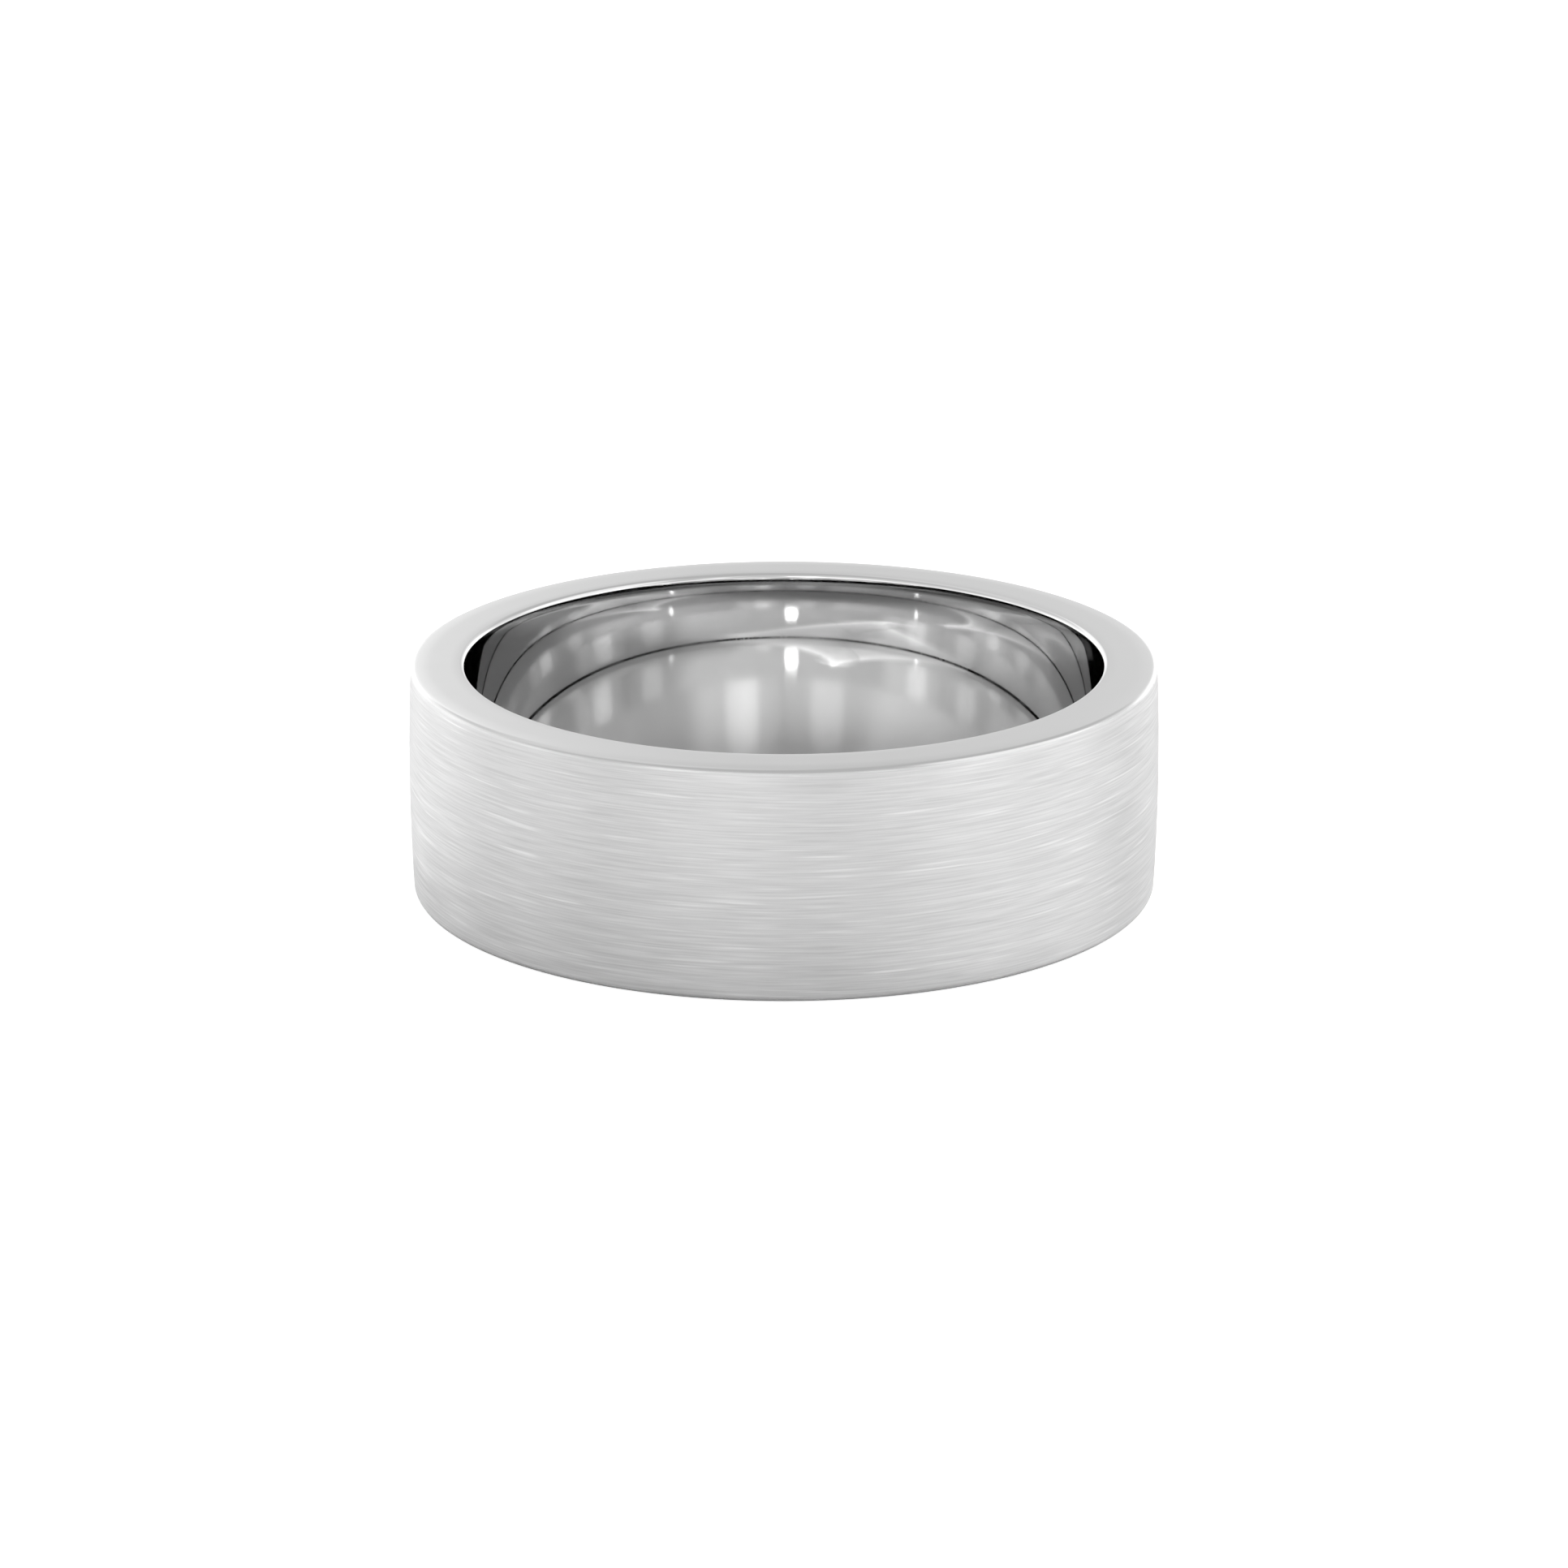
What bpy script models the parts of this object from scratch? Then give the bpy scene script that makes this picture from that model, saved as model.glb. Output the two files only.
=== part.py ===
"""A plain wedding band with a comfort-fit bore, lying on one of its side faces.

Blender 4.5, metres, +Z up. The ring's axis is +Z, and the origin is the centre of the lower side face.
The band is turned from one blank, so it is one solid: a closed cross-section carried once round the axis.
"""

import math

import bmesh
import bpy

# Driving dimensions.
INNER_DIAMETER = 0.0190  # across the bore at mid-width, about US ring size 9
OUTER_DIAMETER = 0.0226  # across the outer wall at mid-width
BAND_WIDTH = 0.0070  # from side face to side face
CROWN_DROP = 0.00009  # how far the outer wall falls inwards from mid-width to a side face
COMFORT_RISE = 0.000095  # how far the bore opens outwards from mid-width to a side face
COMFORT_POWER = 2.7  # 2 would be a plain arc; a higher power keeps the middle of the bore straighter
OUTER_EDGE_RADIUS = 0.00018
BORE_EDGE_RADIUS = 0.00015

# How finely the curved surfaces are divided.
STEPS_ROUND = 120
STEPS_OUTER_WALL = 3  # from mid-width to an edge
STEPS_BORE_WALL = 4  # from mid-width to an edge
STEPS_EDGE = 3

# Finish of the metal: rhodium-plated white gold, brushed outside.
METAL_COLOUR = (0.80, 0.80, 0.80, 1.0)
METAL_ROUGHNESS = 0.28
SHARP_ANGLE = math.radians(35)

HALF_WIDTH = BAND_WIDTH / 2


def outer_wall_radius(z):
    """Radius of the slightly crowned outer wall at a height z from mid-width."""
    return OUTER_DIAMETER / 2 - CROWN_DROP * (z / HALF_WIDTH) ** 2


def bore_wall_radius(z):
    """Radius of the comfort-fit bore at a height z from mid-width."""
    return INNER_DIAMETER / 2 + COMFORT_RISE * (abs(z) / HALF_WIDTH) ** COMFORT_POWER


def wall_and_edge(wall_radius, edge_radius, outward, wall_steps):
    """Points (r, z) up one wall from mid-width and round its edge to the side face.

    outward is +1 for the outer wall and -1 for the bore, the way the wall faces from the metal.
    """
    edge_start = HALF_WIDTH - edge_radius
    slope = (wall_radius(HALF_WIDTH) - wall_radius(edge_start)) / edge_radius
    lean = math.atan(-outward * slope)  # how far the wall's normal is tipped up where the edge begins
    wall_top = edge_start + edge_radius * math.sin(lean)
    points = []
    for step in range(wall_steps + 1):
        z = wall_top * step / wall_steps
        points.append((wall_radius(z), z))
    centre_r = wall_radius(wall_top) - outward * edge_radius * math.cos(lean)
    for step in range(1, STEPS_EDGE + 1):
        angle = lean + (math.pi / 2 - lean) * step / STEPS_EDGE
        r = centre_r + outward * edge_radius * math.cos(angle)
        points.append((r, edge_start + edge_radius * math.sin(angle)))
    return points


def cross_section():
    """The closed outline of the band as (r, z) points, with z = 0 at mid-width."""
    bore = wall_and_edge(bore_wall_radius, BORE_EDGE_RADIUS, -1, STEPS_BORE_WALL)
    outer = wall_and_edge(outer_wall_radius, OUTER_EDGE_RADIUS, 1, STEPS_OUTER_WALL)
    upper = bore + outer[::-1]
    lower = [(r, -z) for r, z in reversed(upper) if z > 0]
    return upper + lower


def make_material(name):
    """Bright white precious metal with a satin finish."""
    material = bpy.data.materials.new(name)
    material.use_nodes = True
    shader = material.node_tree.nodes["Principled BSDF"]
    shader.inputs["Base Color"].default_value = METAL_COLOUR
    shader.inputs["Metallic"].default_value = 1.0
    shader.inputs["Roughness"].default_value = METAL_ROUGHNESS
    return material


def make_band():
    """Spins the cross-section once round +Z and stands the ring on the ground by its lower side face."""
    shape = bmesh.new()
    corners = [shape.verts.new((r, 0.0, z)) for r, z in cross_section()]
    outline = [shape.edges.new(pair) for pair in zip(corners, corners[1:] + corners[:1])]
    bmesh.ops.spin(
        shape,
        geom=corners + outline,
        cent=(0, 0, 0),
        axis=(0, 0, 1),
        angle=2 * math.pi,
        steps=STEPS_ROUND,
        use_merge=True,
    )
    bmesh.ops.recalc_face_normals(shape, faces=shape.faces)
    mesh = bpy.data.meshes.new("band")
    shape.to_mesh(mesh)
    shape.free()
    mesh.shade_smooth()
    mesh.set_sharp_from_angle(angle=SHARP_ANGLE)
    mesh.materials.append(make_material("band_metal"))
    band = bpy.data.objects.new("band", mesh)
    band.location.z = HALF_WIDTH
    bpy.context.scene.collection.objects.link(band)
    return band


for old in list(bpy.data.objects):
    bpy.data.objects.remove(old)
make_band()
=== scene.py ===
"""The wedding band as it looks, on a pale studio floor. Metres, +Z up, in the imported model's frame.

Its outer wall is brushed, its side faces are satin, and its comfort-fit bore is polished.
"""

import math

import bmesh
import bpy
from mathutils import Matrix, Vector


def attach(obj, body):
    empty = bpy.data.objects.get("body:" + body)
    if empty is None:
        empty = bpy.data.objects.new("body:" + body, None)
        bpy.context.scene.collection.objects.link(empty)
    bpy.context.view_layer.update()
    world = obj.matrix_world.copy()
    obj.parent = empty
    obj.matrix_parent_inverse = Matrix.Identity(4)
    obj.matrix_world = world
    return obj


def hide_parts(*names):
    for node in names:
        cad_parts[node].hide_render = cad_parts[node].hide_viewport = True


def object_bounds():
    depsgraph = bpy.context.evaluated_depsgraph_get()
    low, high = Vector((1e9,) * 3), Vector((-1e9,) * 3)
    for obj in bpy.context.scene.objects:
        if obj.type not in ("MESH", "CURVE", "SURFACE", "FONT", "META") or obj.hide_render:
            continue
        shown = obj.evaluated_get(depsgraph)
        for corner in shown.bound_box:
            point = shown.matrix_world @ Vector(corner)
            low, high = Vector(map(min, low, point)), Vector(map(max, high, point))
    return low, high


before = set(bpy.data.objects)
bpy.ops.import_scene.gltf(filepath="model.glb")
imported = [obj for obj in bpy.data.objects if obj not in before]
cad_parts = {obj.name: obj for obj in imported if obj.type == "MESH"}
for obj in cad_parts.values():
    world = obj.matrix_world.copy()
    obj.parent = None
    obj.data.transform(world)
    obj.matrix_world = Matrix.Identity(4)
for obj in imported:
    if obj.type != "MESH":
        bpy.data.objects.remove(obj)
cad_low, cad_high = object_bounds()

# The ring's outside size, from the frame, and the rest of its cross-section.
BAND_WIDTH = cad_high.z - cad_low.z
HALF_WIDTH = BAND_WIDTH / 2
OUTER_RADIUS = (cad_high.x - cad_low.x) / 2
CENTRE = Vector((0, 0, cad_low.z + HALF_WIDTH))
BORE_RADIUS = 0.0095
CROWN_DROP = 0.00009
COMFORT_RISE = 0.000095
COMFORT_POWER = 2.7
OUTER_EDGE_RADIUS = 0.00018
BORE_EDGE_RADIUS = 0.00015

# The side face is flat, and then polishing has rolled it gently down into its outer edge.
ROLL_LENGTH = 0.00045
ROLL_ANGLE = math.radians(5)
ROLL_DROP = ROLL_LENGTH * math.tan(ROLL_ANGLE) / 2

# How finely the ring is divided. The brushing runs a little way round the outer edge.
STEPS_ROUND = 720
STEPS_WALL = 12
STEPS_EDGE = 9
STEPS_EDGE_BRUSHED = 3
STEPS_FLAT = 3
STEPS_ROLL = 8

# The finishes, in the order of the ring's material slots, and the metal's grey.
BRUSHED, SATIN, POLISHED = range(3)
METAL_GREY = 0.78

# Brushing: noise in cycles per metre along x, y and z, with its detail, and how strongly each size shows.
FINE_SCRATCHES, FINE_CONTRAST = ((450, 450, 18000), 2), 0.36
MIDDLE_SCRATCHES, MIDDLE_CONTRAST = ((200, 200, 6500), 2), 0.11
BROAD_SCRATCHES, BROAD_CONTRAST = ((100, 100, 1800), 2), 0.04
BRIGHT_SCRATCHES, BRIGHT_CONTRAST = ((420, 420, 12000), 0), 0.14
BRIGHT_FROM, BRIGHT_FULL = 0.66, 0.85
SCRATCH_WANDER = ((100, 100, 60), 1)
SCRATCH_SHIFT = 0.00004
SCRATCH_DEPTH, SCRATCH_BUMP = 0.000004, 0.3
BRUSHED_ANISOTROPY = 0.65
ALONG_THE_TANGENT = 0.25

# Roughness of each finish, from and to, and the clouds that vary the two smooth ones.
BRUSHED_ROUGHNESS = (0.36, 0.46)
SATIN_ROUGHNESS = (0.14, 0.19)
POLISHED_ROUGHNESS = (0.02, 0.05)
SATIN_CLOUDS = ((900, 900, 900), 3)
POLISHED_CLOUDS = ((700, 700, 5000), 3)
CLOUDS_FROM, CLOUDS_TO = 0.3, 0.7

# The camera, and how far below the ring's centre it aims.
CAMERA_DISTANCE = 0.1791
CAMERA_ELEVATION = math.radians(17.39)
CAMERA_LENS = 136.0
CAMERA_SENSOR = 36.0
AIM_DROP = 0.00046
CAMERA_CLIP_START = 0.001

# The studio sky: its brightness by the sine of the elevation.
SKY = [(0.0, 0.95), (0.28, 0.69), (0.64, 0.59), (1.0, 0.57)]
# Soft round lights in the sky, and a few dark patches. Each row is its azimuth (0 is the camera's side, 90
# the right) and elevation, the degrees from its centre where it is full and where it ends, the brightness it
# adds, and the first and last reflection it shows in. A light that starts after the first reflection is seen
# in the bore, but not on the outside of the ring.
EVER = 9
SKY_LIGHTS = [
    (-162, 17, 8, 18, 0.40, 1, EVER),
    (163, 17, 6, 17.5, 0.16, 1, EVER),
    (-140, 45, 15, 40, 0.22, 1, EVER),
    (-135, 2, 14, 34, 0.35, 1, EVER),
    (-152, 3, 8, 24, 0.2, 1, EVER),
    (150, 3, 8, 24, 0.56, 1, EVER),
    (-100, 2, 10, 40, 0.3, 1, EVER),
    (-40, 5, 25, 60, 0.2, 1, EVER),
    (-26, 4, 8, 22, 0.25, 1, EVER),
    (35, 5, 20, 45, 0.38, 1, EVER),
    (54, 1, 5, 28, 0.32, 1, EVER),
    (85, 34, 20, 34, 0.52, 1, EVER),
    (118, 2, 20, 40, 0.22, 1, EVER),
    (-135, 27, 10, 22, -0.1, 1, 1),
    (45, 18, 10, 22, -0.4, 1, 1),
    (11, 12, 8, 14, -0.5, 1, 1),
    (-8, 12, 5, 8, 1.2, 1, 1),
    (-138, 24, 14, 36, 0.45, 2, EVER),
    (95, 28, 16, 30, 0.4, 2, EVER),
    (-92, 17, 12, 28, -0.4, 3, EVER),
    (-149, 18, 5, 15, 1.4, 3, EVER),
    (148, 18, 5, 15, 0.8, 3, EVER),
    (-5, 11, 3.4, 4.2, 12.0, 4, 4),
    (-11, 11, 3.4, 4.2, 12.0, 4, 4),
    (-5, 15, 3.4, 4.2, 12.0, 4, 4),
    (-11, 15, 3.4, 4.2, 12.0, 4, 4),
    (-14.6, 9.5, 1.0, 2.0, 40.0, 5, EVER),
    (-15, 11.5, 1.0, 2.0, 40.0, 5, EVER),
    (-15.4, 13.5, 1.0, 2.0, 40.0, 5, EVER),
    (-15.8, 15.5, 0.8, 1.8, 40.0, 5, EVER),
]
KEY_AZIMUTH, KEY_ELEVATION, KEY_ANGLE, KEY_STRENGTH = 144, 45, 30, 1.9

# The stage. Each piece is seen either by the camera or in the ring's reflections: the floor is white to the
# camera and grey in the ring.
FLOOR_HALF_SIDE = 1.0
FLOOR_GAP = 0.000005
FLOOR_ROUGHNESS = 0.08
FLOOR_ALBEDO, FLOOR_GLOW = 0.5, 0.85
REFLECTED_FLOOR_ALBEDO, REFLECTED_FLOOR_GLOSS = 0.61, 0.5
BACKDROP_RADIUS = 0.8
BACKDROP_GLOW = 1.1
BACKDROP_SEGMENTS, BACKDROP_RINGS = 48, 24
# Painted contact shadow: a black ring on the floor under the bore's lower edge, seen only in reflections,
# between these radii.
PAINTED_SHADOW_INNER_RADIUS, PAINTED_SHADOW_OUTER_RADIUS = 0.00954, 0.00974

# The light that the bore focuses on the floor: its glow by the distance across its line, negative towards the
# wall that focuses it, and where along the bore it ends.
CAUSTIC_ACROSS = [
    (0.0009, 0), (0.0004, 0.3), (0, 0.9), (-0.0004, 0.6), (-0.001, 0.35), (-0.0025, 0.18), (-0.004, 0),
]
CAUSTIC_STRENGTH = 0.65
CAUSTIC_END, CAUSTIC_STEP = 78, 3
CAUSTIC_CUSP_WIDTH = 0.3
CAUSTIC_FADE = 1.5


def outer_wall_radius(z):
    """Radius of the slightly crowned outer wall at a height z from mid-width."""
    return OUTER_RADIUS - CROWN_DROP * (z / HALF_WIDTH) ** 2


def bore_wall_radius(z):
    """Radius of the comfort-fit bore at a height z from mid-width."""
    return BORE_RADIUS + COMFORT_RISE * (abs(z) / HALF_WIDTH) ** COMFORT_POWER


def wall_and_edge(wall_radius, edge_radius, outward, side_z, side_tilt):
    """Points (r, z) up one wall from mid-width, and round its edge to the side face.

    outward is +1 for the outer wall and -1 for the bore. The side face is at side_z there and leans by
    side_tilt.
    """
    centre_z = side_z - edge_radius * math.cos(side_tilt)
    slope = (wall_radius(HALF_WIDTH) - wall_radius(centre_z)) / (HALF_WIDTH - centre_z)
    lean = math.atan(-outward * slope)
    wall_top = centre_z + edge_radius * math.sin(lean)
    wall = []
    for step in range(STEPS_WALL + 1):
        z = wall_top * step / STEPS_WALL
        wall.append((wall_radius(z), z))
    centre_r = wall_radius(wall_top) - outward * edge_radius * math.cos(lean)
    edge = []
    for step in range(1, STEPS_EDGE + 1):
        angle = lean + (math.pi / 2 - side_tilt - lean) * step / STEPS_EDGE
        r = centre_r + outward * edge_radius * math.cos(angle)
        edge.append((r, centre_z + edge_radius * math.sin(angle)))
    return wall, edge


def side_face(start, end):
    """Points (r, z) outward over the side face between its two rounded edges: flat, then rolled down."""
    roll_start = end - ROLL_LENGTH
    points = []
    for step in range(1, STEPS_FLAT + 1):
        points.append((start + (roll_start - start) * step / STEPS_FLAT, HALF_WIDTH))
    for step in range(1, STEPS_ROLL):
        part = step / STEPS_ROLL
        points.append((roll_start + ROLL_LENGTH * part, HALF_WIDTH - ROLL_DROP * part ** 2))
    return points


def cross_section():
    """The closed outline as (r, z, finish of the strip that starts there), from the bore outward."""
    bore, bore_edge = wall_and_edge(bore_wall_radius, BORE_EDGE_RADIUS, -1, HALF_WIDTH, 0)
    outer, outer_edge = wall_and_edge(
        outer_wall_radius, OUTER_EDGE_RADIUS, 1, HALF_WIDTH - ROLL_DROP, ROLL_ANGLE
    )
    side = side_face(bore_edge[-1][0], outer_edge[-1][0])
    upper = [(r, z, POLISHED) for r, z in bore + bore_edge[:-1]]
    brushed = outer + outer_edge[:STEPS_EDGE_BRUSHED]
    upper += [(r, z, SATIN) for r, z in bore_edge[-1:] + side + outer_edge[:STEPS_EDGE_BRUSHED - 1:-1]]
    upper += [(r, z, BRUSHED) for r, z in brushed[::-1]]
    lower = []
    for (r, z, _), (_, _, finish) in zip(upper[::-1], upper[-2::-1] + upper[:1]):
        if z > 0:
            lower.append((r, -z, finish))
    return upper + lower


def make_band(materials):
    """The ring, spun round from the cross-section, with one material for each finish."""
    shape = bmesh.new()
    outline = cross_section()
    rings = []
    for r, z, _ in outline:
        ring = []
        for step in range(STEPS_ROUND):
            angle = 2 * math.pi * step / STEPS_ROUND
            ring.append(shape.verts.new((r * math.cos(angle), r * math.sin(angle), z)))
        rings.append(ring)
    for index, (_, _, finish) in enumerate(outline):
        ring, following = rings[index], rings[(index + 1) % len(rings)]
        for step in range(STEPS_ROUND):
            after = (step + 1) % STEPS_ROUND
            face = shape.faces.new((ring[step], following[step], following[after], ring[after]))
            face.material_index = finish
            face.smooth = True
    bmesh.ops.recalc_face_normals(shape, faces=shape.faces)
    mesh = bpy.data.meshes.new("band_turned")
    shape.to_mesh(mesh)
    shape.free()
    for material in materials:
        mesh.materials.append(material)
    band = bpy.data.objects.new("band_turned", mesh)
    band.location = CENTRE
    bpy.context.scene.collection.objects.link(band)
    return band


def node(tree, kind, inputs=None, **settings):
    """A new node with its settings, and its inputs either linked from a socket or set to a value."""
    made = tree.nodes.new("ShaderNode" + kind)
    for name, value in settings.items():
        setattr(made, name, value)
    for name, value in (inputs or {}).items():
        if isinstance(value, bpy.types.NodeSocket):
            tree.links.new(value, made.inputs[name])
        else:
            made.inputs[name].default_value = value
    return made


def math_node(tree, operation, first, second):
    return node(tree, "Math", {0: first, 1: second}, operation=operation).outputs[0]


def noise(tree, coords, scale, detail):
    """Noise from 0 to 1 with a size along each axis; scale is cycles per metre along x, y and z."""
    stretched = node(tree, "VectorMath", {0: coords, 1: scale}, operation="MULTIPLY").outputs[0]
    return node(tree, "TexNoise", {"Vector": stretched, "Scale": 1.0, "Detail": detail}).outputs["Fac"]


def scaled(tree, socket, low, high, to_low, to_high):
    return node(tree, "MapRange", {0: socket, 1: low, 2: high, 3: to_low, 4: to_high}).outputs[0]


def new_metal(name):
    material = bpy.data.materials.new(name)
    material.use_nodes = True
    shader = material.node_tree.nodes["Principled BSDF"]
    shader.inputs["Base Color"].default_value = (METAL_GREY, METAL_GREY, METAL_GREY, 1.0)
    shader.inputs["Metallic"].default_value = 1.0
    return material, material.node_tree, shader


def grey_colour(tree, socket):
    return node(tree, "CombineColor", {"Red": socket, "Green": socket, "Blue": socket}).outputs[0]


def object_place(tree):
    return node(tree, "TexCoord").outputs["Object"]


def wandering_course(tree):
    """The place on the ring, shifted slowly up and down so that no scratch runs quite straight."""
    place = object_place(tree)
    wander = noise(tree, place, *SCRATCH_WANDER)
    rise = scaled(tree, wander, 0, 1, -SCRATCH_SHIFT, SCRATCH_SHIFT)
    shift = node(tree, "CombineXYZ", {"Z": rise}).outputs[0]
    return node(tree, "VectorMath", {0: place, 1: shift}, operation="ADD").outputs[0]


def brushed_metal():
    """Fine scratches along the circumference, in three sizes, with a few bright ones."""
    material, tree, shader = new_metal("brushed_metal")
    shader.inputs["Anisotropic"].default_value = BRUSHED_ANISOTROPY
    shader.inputs["Anisotropic Rotation"].default_value = ALONG_THE_TANGENT
    tangent = node(tree, "Tangent", direction_type="RADIAL", axis="Z").outputs[0]
    tree.links.new(tangent, shader.inputs["Tangent"])
    course = wandering_course(tree)
    fine = noise(tree, course, *FINE_SCRATCHES)
    middle = noise(tree, course, *MIDDLE_SCRATCHES)
    broad = noise(tree, course, *BROAD_SCRATCHES)
    bright = noise(tree, course, *BRIGHT_SCRATCHES)
    tone = scaled(tree, fine, 0, 1, METAL_GREY - FINE_CONTRAST / 2, METAL_GREY + FINE_CONTRAST / 2)
    for layer, contrast in ((middle, MIDDLE_CONTRAST), (broad, BROAD_CONTRAST)):
        tone = math_node(tree, "ADD", tone, scaled(tree, layer, 0, 1, -contrast / 2, contrast / 2))
    tone = math_node(tree, "ADD", tone, scaled(tree, bright, BRIGHT_FROM, BRIGHT_FULL, 0, BRIGHT_CONTRAST))
    tree.links.new(grey_colour(tree, tone), shader.inputs["Base Color"])
    roughness = scaled(tree, middle, CLOUDS_FROM, CLOUDS_TO, *BRUSHED_ROUGHNESS)
    tree.links.new(roughness, shader.inputs["Roughness"])
    height = math_node(tree, "ADD", fine, middle)
    bump = node(tree, "Bump", {"Strength": SCRATCH_BUMP, "Distance": SCRATCH_DEPTH, "Height": height})
    tree.links.new(bump.outputs[0], shader.inputs["Normal"])
    return material


def smooth_metal(name, clouds, roughness):
    """Metal whose roughness varies in faint clouds."""
    material, tree, shader = new_metal(name)
    cloud = noise(tree, object_place(tree), *clouds)
    tree.links.new(scaled(tree, cloud, CLOUDS_FROM, CLOUDS_TO, *roughness), shader.inputs["Roughness"])
    return material


def show_only_to(thing, camera, reflections):
    """Splits the stage between what the camera sees and what the metal reflects."""
    thing.visible_camera = camera
    thing.visible_diffuse = reflections
    thing.visible_glossy = reflections
    thing.visible_transmission = reflections
    thing.visible_shadow = reflections


def stage_material(name, albedo, glow, gloss):
    """A plain grey that may glow or reflect a little."""
    material = bpy.data.materials.new(name)
    material.use_nodes = True
    shader = material.node_tree.nodes["Principled BSDF"]
    shader.inputs["Base Color"].default_value = (albedo, albedo, albedo, 1)
    shader.inputs["Roughness"].default_value = FLOOR_ROUGHNESS
    shader.inputs["Specular IOR Level"].default_value = gloss
    shader.inputs["Emission Color"].default_value = (1, 1, 1, 1)
    shader.inputs["Emission Strength"].default_value = glow
    return material


def stage_object(name, mesh, albedo, glow, camera, reflections, gloss=0.0):
    mesh.materials.append(stage_material(name, albedo, glow, gloss))
    thing = bpy.data.objects.new(name, mesh)
    bpy.context.scene.collection.objects.link(thing)
    show_only_to(thing, camera, reflections)
    return thing


def make_floor(name, depth, albedo, glow, camera, reflections, gloss=0.0):
    """A square floor, depth below the ring's lower side face."""
    mesh = bpy.data.meshes.new(name)
    half = FLOOR_HALF_SIDE
    corners = [(-half, -half, 0), (half, -half, 0), (half, half, 0), (-half, half, 0)]
    mesh.from_pydata(corners, [], [(0, 1, 2, 3)])
    floor = stage_object(name, mesh, albedo, glow, camera, reflections, gloss)
    floor.location.z = cad_low.z - depth


def make_backdrop():
    """A white dome that only the camera sees, behind the floor's far edge."""
    shape = bmesh.new()
    bmesh.ops.create_uvsphere(
        shape, u_segments=BACKDROP_SEGMENTS, v_segments=BACKDROP_RINGS, radius=BACKDROP_RADIUS
    )
    mesh = bpy.data.meshes.new("backdrop")
    shape.to_mesh(mesh)
    shape.free()
    stage_object("backdrop", mesh, 0.0, BACKDROP_GLOW, camera=True, reflections=False)


def make_camera():
    data = bpy.data.cameras.new("camera")
    data.lens = CAMERA_LENS
    data.sensor_width = CAMERA_SENSOR
    data.clip_start = CAMERA_CLIP_START
    data.clip_end = 2 * BACKDROP_RADIUS
    camera = bpy.data.objects.new("camera", data)
    away = Vector((0, -math.cos(CAMERA_ELEVATION), math.sin(CAMERA_ELEVATION)))
    camera.location = CENTRE + away * CAMERA_DISTANCE
    aim = CENTRE - Vector((0, 0, AIM_DROP))
    camera.rotation_euler = (aim - camera.location).to_track_quat("-Z", "Y").to_euler()
    bpy.context.scene.collection.objects.link(camera)
    bpy.context.scene.camera = camera


def direction(azimuth, elevation):
    """The unit vector towards an azimuth and elevation in degrees."""
    a, e = math.radians(azimuth), math.radians(elevation)
    return Vector((math.sin(a) * math.cos(e), -math.cos(a) * math.cos(e), math.sin(e)))


def sky_light(tree, coords, azimuth, elevation, full, end, brightness, first, last):
    """A soft round light in the sky that shows from the first to the last reflection."""
    towards = tuple(direction(azimuth, elevation))
    closeness = node(tree, "VectorMath", {0: coords, 1: towards}, operation="DOT_PRODUCT").outputs["Value"]
    outside, inside = math.cos(math.radians(end)), math.cos(math.radians(full))
    edge = {0: closeness, 1: outside, 2: inside, 3: 0.0, 4: brightness}
    light = node(tree, "MapRange", edge, interpolation_type="SMOOTHSTEP").outputs[0]
    depth = node(tree, "LightPath").outputs["Ray Depth"]  # one more than the reflections behind it
    if first > 1:
        light = math_node(tree, "MULTIPLY", light, math_node(tree, "GREATER_THAN", depth, first + 0.5))
    if last < EVER:
        light = math_node(tree, "MULTIPLY", light, math_node(tree, "LESS_THAN", depth, last + 1.5))
    return light


def make_world():
    """A pale studio sky with soft lights in it."""
    world = bpy.data.worlds.new("studio")
    world.use_nodes = True
    tree = world.node_tree
    tree.nodes.clear()
    coords = node(tree, "TexCoord").outputs["Generated"]
    height = node(tree, "SeparateXYZ", {0: coords}).outputs["Z"]
    ramp = node(tree, "ValToRGB", {"Fac": height})
    stops = ramp.color_ramp.elements
    for place, _ in SKY[1:-1]:
        stops.new(place)
    for (place, value), stop in zip(SKY, stops):
        stop.position = place
        stop.color = (value, value, value, 1)
    total = node(tree, "SeparateColor", {0: ramp.outputs[0]}).outputs[0]
    for light in SKY_LIGHTS:
        total = math_node(tree, "ADD", total, sky_light(tree, coords, *light))
    background = node(tree, "Background", {"Color": grey_colour(tree, total)})
    output = node(tree, "OutputWorld")
    tree.links.new(background.outputs[0], output.inputs[0])
    bpy.context.scene.world = world


def make_key():
    """The soft main light. It lights the floor, but the metal doesn't show it."""
    data = bpy.data.lights.new("key", "SUN")
    data.energy = KEY_STRENGTH
    data.angle = math.radians(KEY_ANGLE)
    key = bpy.data.objects.new("key", data)
    key.rotation_euler = direction(KEY_AZIMUTH, KEY_ELEVATION).to_track_quat("Z", "Y").to_euler()
    key.visible_glossy = False
    bpy.context.scene.collection.objects.link(key)


def glow_material(name, strength):
    """Light that adds to what lies under it, as strong as the mesh's own glow says."""
    material = bpy.data.materials.new(name)
    material.use_nodes = True
    tree = material.node_tree
    tree.nodes.clear()
    glow = node(tree, "Attribute", attribute_name="glow").outputs["Fac"]
    light = node(tree, "Emission", {"Strength": math_node(tree, "MULTIPLY", glow, strength)})
    clear = node(tree, "BsdfTransparent")
    both = node(tree, "AddShader", {0: light.outputs[0], 1: clear.outputs[0]})
    output = node(tree, "OutputMaterial")
    tree.links.new(both.outputs[0], output.inputs[0])
    return material


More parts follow.
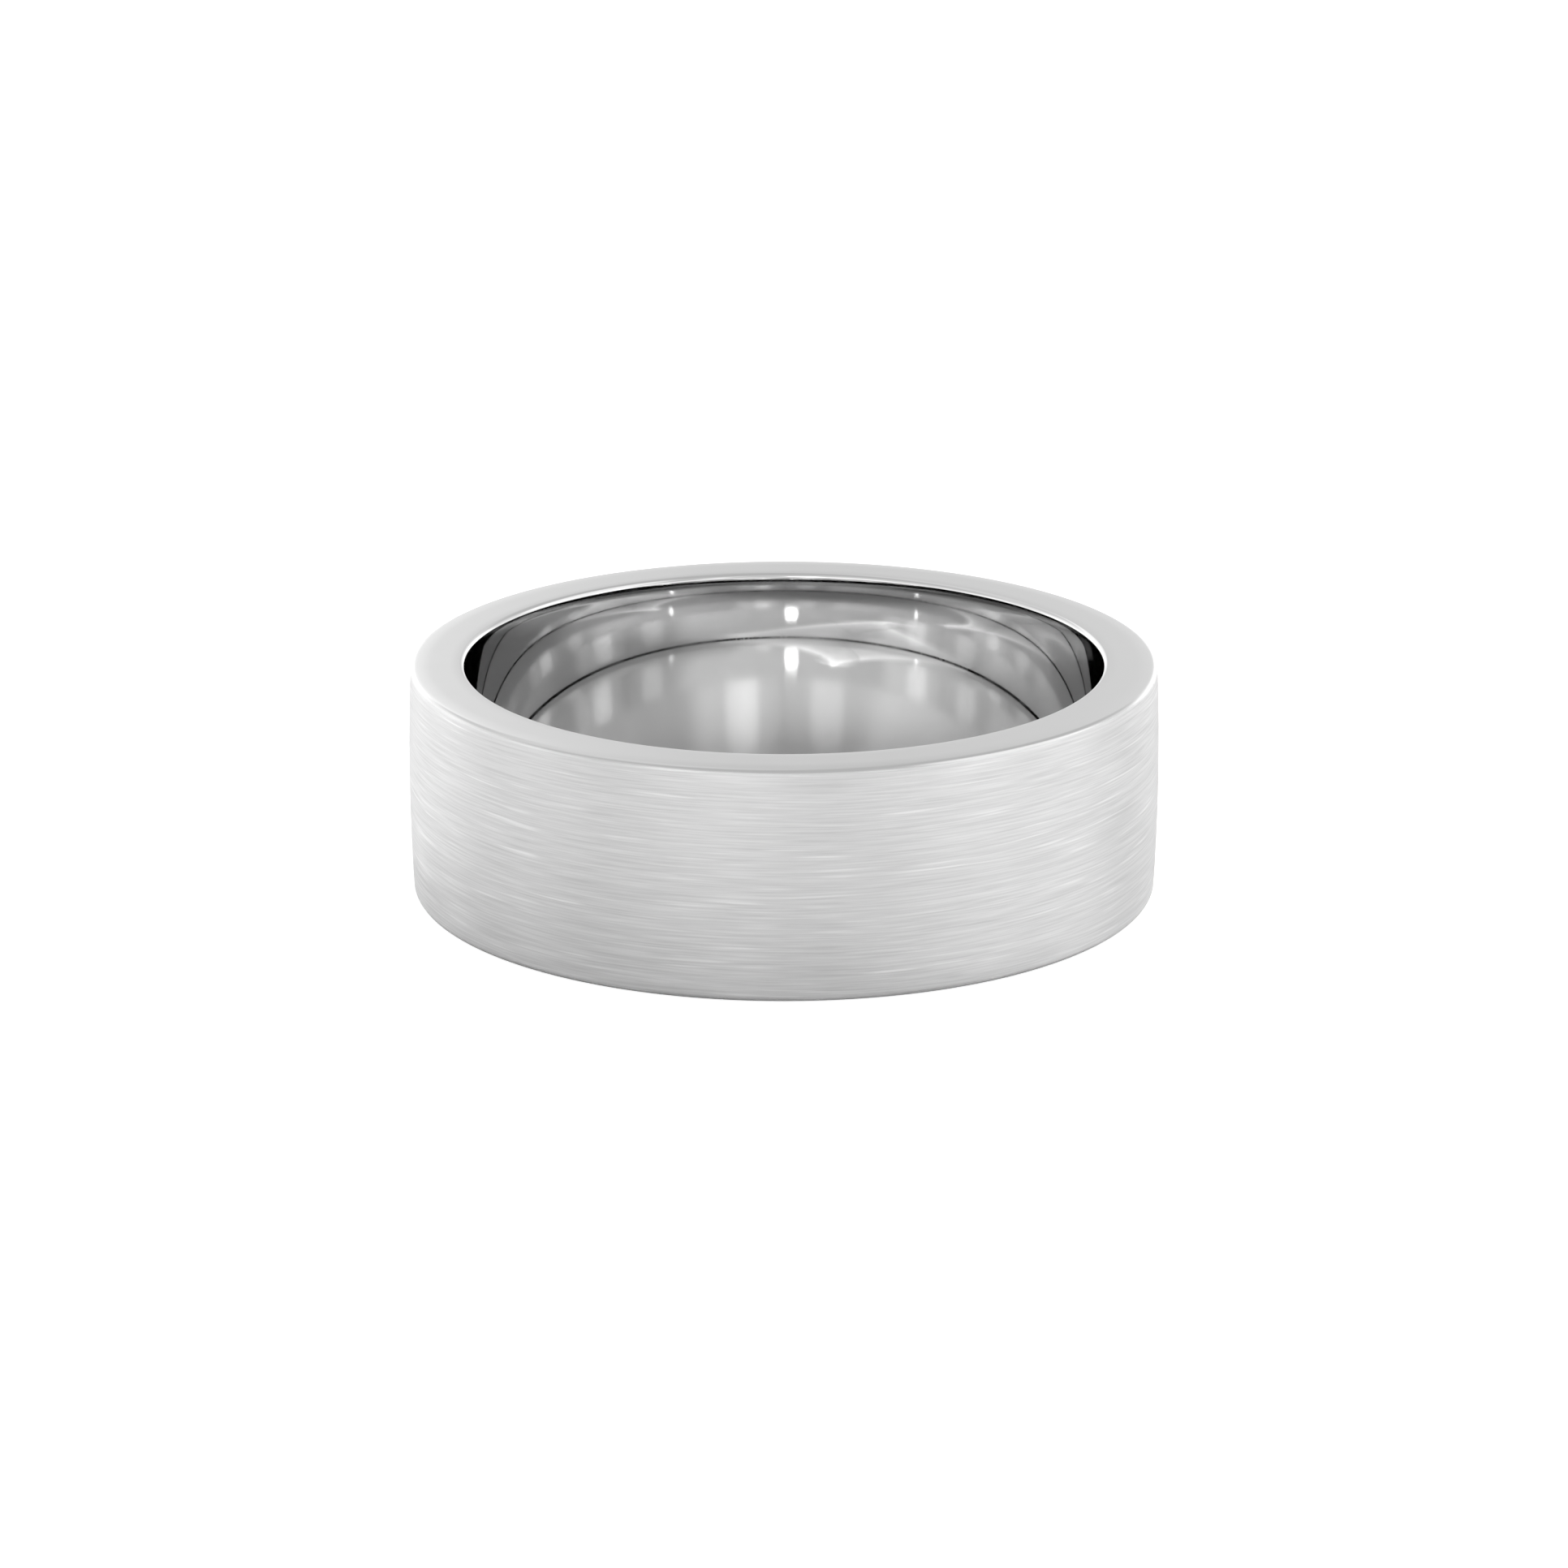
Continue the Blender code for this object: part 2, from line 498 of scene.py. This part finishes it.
def caustic_line():
    """Where the round bore focuses parallel light from the key, as points (x, y, width, glow).

    It is half a nephroid, with its cusp half way from the centre to the wall.
    """
    towards = -direction(KEY_AZIMUTH, 0)
    line = []
    for degrees in range(-CAUSTIC_END, CAUSTIC_END + 1, CAUSTIC_STEP):
        turn = math.radians(degrees)
        along = BORE_RADIUS / 4 * (3 * math.cos(turn) - math.cos(3 * turn))
        across = BORE_RADIUS / 4 * (3 * math.sin(turn) - math.sin(3 * turn))
        x = towards.x * along - towards.y * across
        y = towards.y * along + towards.x * across
        width = CAUSTIC_CUSP_WIDTH + (1 - CAUSTIC_CUSP_WIDTH) * abs(math.sin(turn))
        line.append((x, y, width, math.cos(turn) ** CAUSTIC_FADE))
    return line


def caustic_mesh(line):
    """A strip along the line, with the glow of each point in its glow attribute."""
    points, glows, faces = [], [], []
    for index, (x, y, width, glow) in enumerate(line):
        before, after = line[max(index - 1, 0)], line[min(index + 1, len(line) - 1)]
        along = Vector((after[0] - before[0], after[1] - before[1])).normalized()
        for offset, share in CAUSTIC_ACROSS:
            points.append((x - along.y * offset * width, y + along.x * offset * width, 0))
            glows.append(glow * share)
    across = len(CAUSTIC_ACROSS)
    for row in range(len(line) - 1):
        for column in range(across - 1):
            corner = row * across + column
            faces.append((corner, corner + 1, corner + across + 1, corner + across))
    mesh = bpy.data.meshes.new("caustic")
    mesh.from_pydata(points, [], faces)
    mesh.attributes.new("glow", "FLOAT", "POINT").data.foreach_set("value", glows)
    return mesh


def make_caustic():
    """The focused light, seen only in reflections."""
    mesh = caustic_mesh(caustic_line())
    mesh.materials.append(glow_material("caustic", CAUSTIC_STRENGTH))
    caustic = bpy.data.objects.new("caustic", mesh)
    caustic.location.z = cad_low.z - FLOOR_GAP
    bpy.context.scene.collection.objects.link(caustic)
    show_only_to(caustic, camera=False, reflections=False)
    caustic.visible_glossy = True


def make_painted_contact_shadow():
    """A black ring on the floor under the bore's lower edge, seen only in reflections: painted contact
    shadow, as the bore reflects it.
    """
    mesh = bpy.data.meshes.new("painted_contact_shadow")
    points, faces = [], []
    for step in range(STEPS_ROUND):
        angle = 2 * math.pi * step / STEPS_ROUND
        for radius in (PAINTED_SHADOW_INNER_RADIUS, PAINTED_SHADOW_OUTER_RADIUS):
            points.append((radius * math.cos(angle), radius * math.sin(angle), 0))
        corner, following = 2 * step, 2 * ((step + 1) % STEPS_ROUND)
        faces.append((corner, corner + 1, following + 1, following))
    mesh.from_pydata(points, [], faces)
    painted_contact_shadow = stage_object("painted_contact_shadow", mesh, 0.0, 0.0, camera=False, reflections=True)
    painted_contact_shadow.location.z = cad_low.z - FLOOR_GAP


make_camera()
make_world()
make_key()
make_floor("floor", FLOOR_GAP, FLOOR_ALBEDO, FLOOR_GLOW, camera=True, reflections=False)
make_floor(
    "floor_in_reflections",
    2 * FLOOR_GAP,
    REFLECTED_FLOOR_ALBEDO,
    glow=0.0,
    camera=False,
    reflections=True,
    gloss=REFLECTED_FLOOR_GLOSS,
)
make_caustic()
make_painted_contact_shadow()
make_backdrop()
bpy.context.scene.view_settings.view_transform = "Standard"

satin = smooth_metal("satin_metal", SATIN_CLOUDS, SATIN_ROUGHNESS)
polished = smooth_metal("polished_metal", POLISHED_CLOUDS, POLISHED_ROUGHNESS)
band = make_band([brushed_metal(), satin, polished])
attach(band, "root")
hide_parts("band")
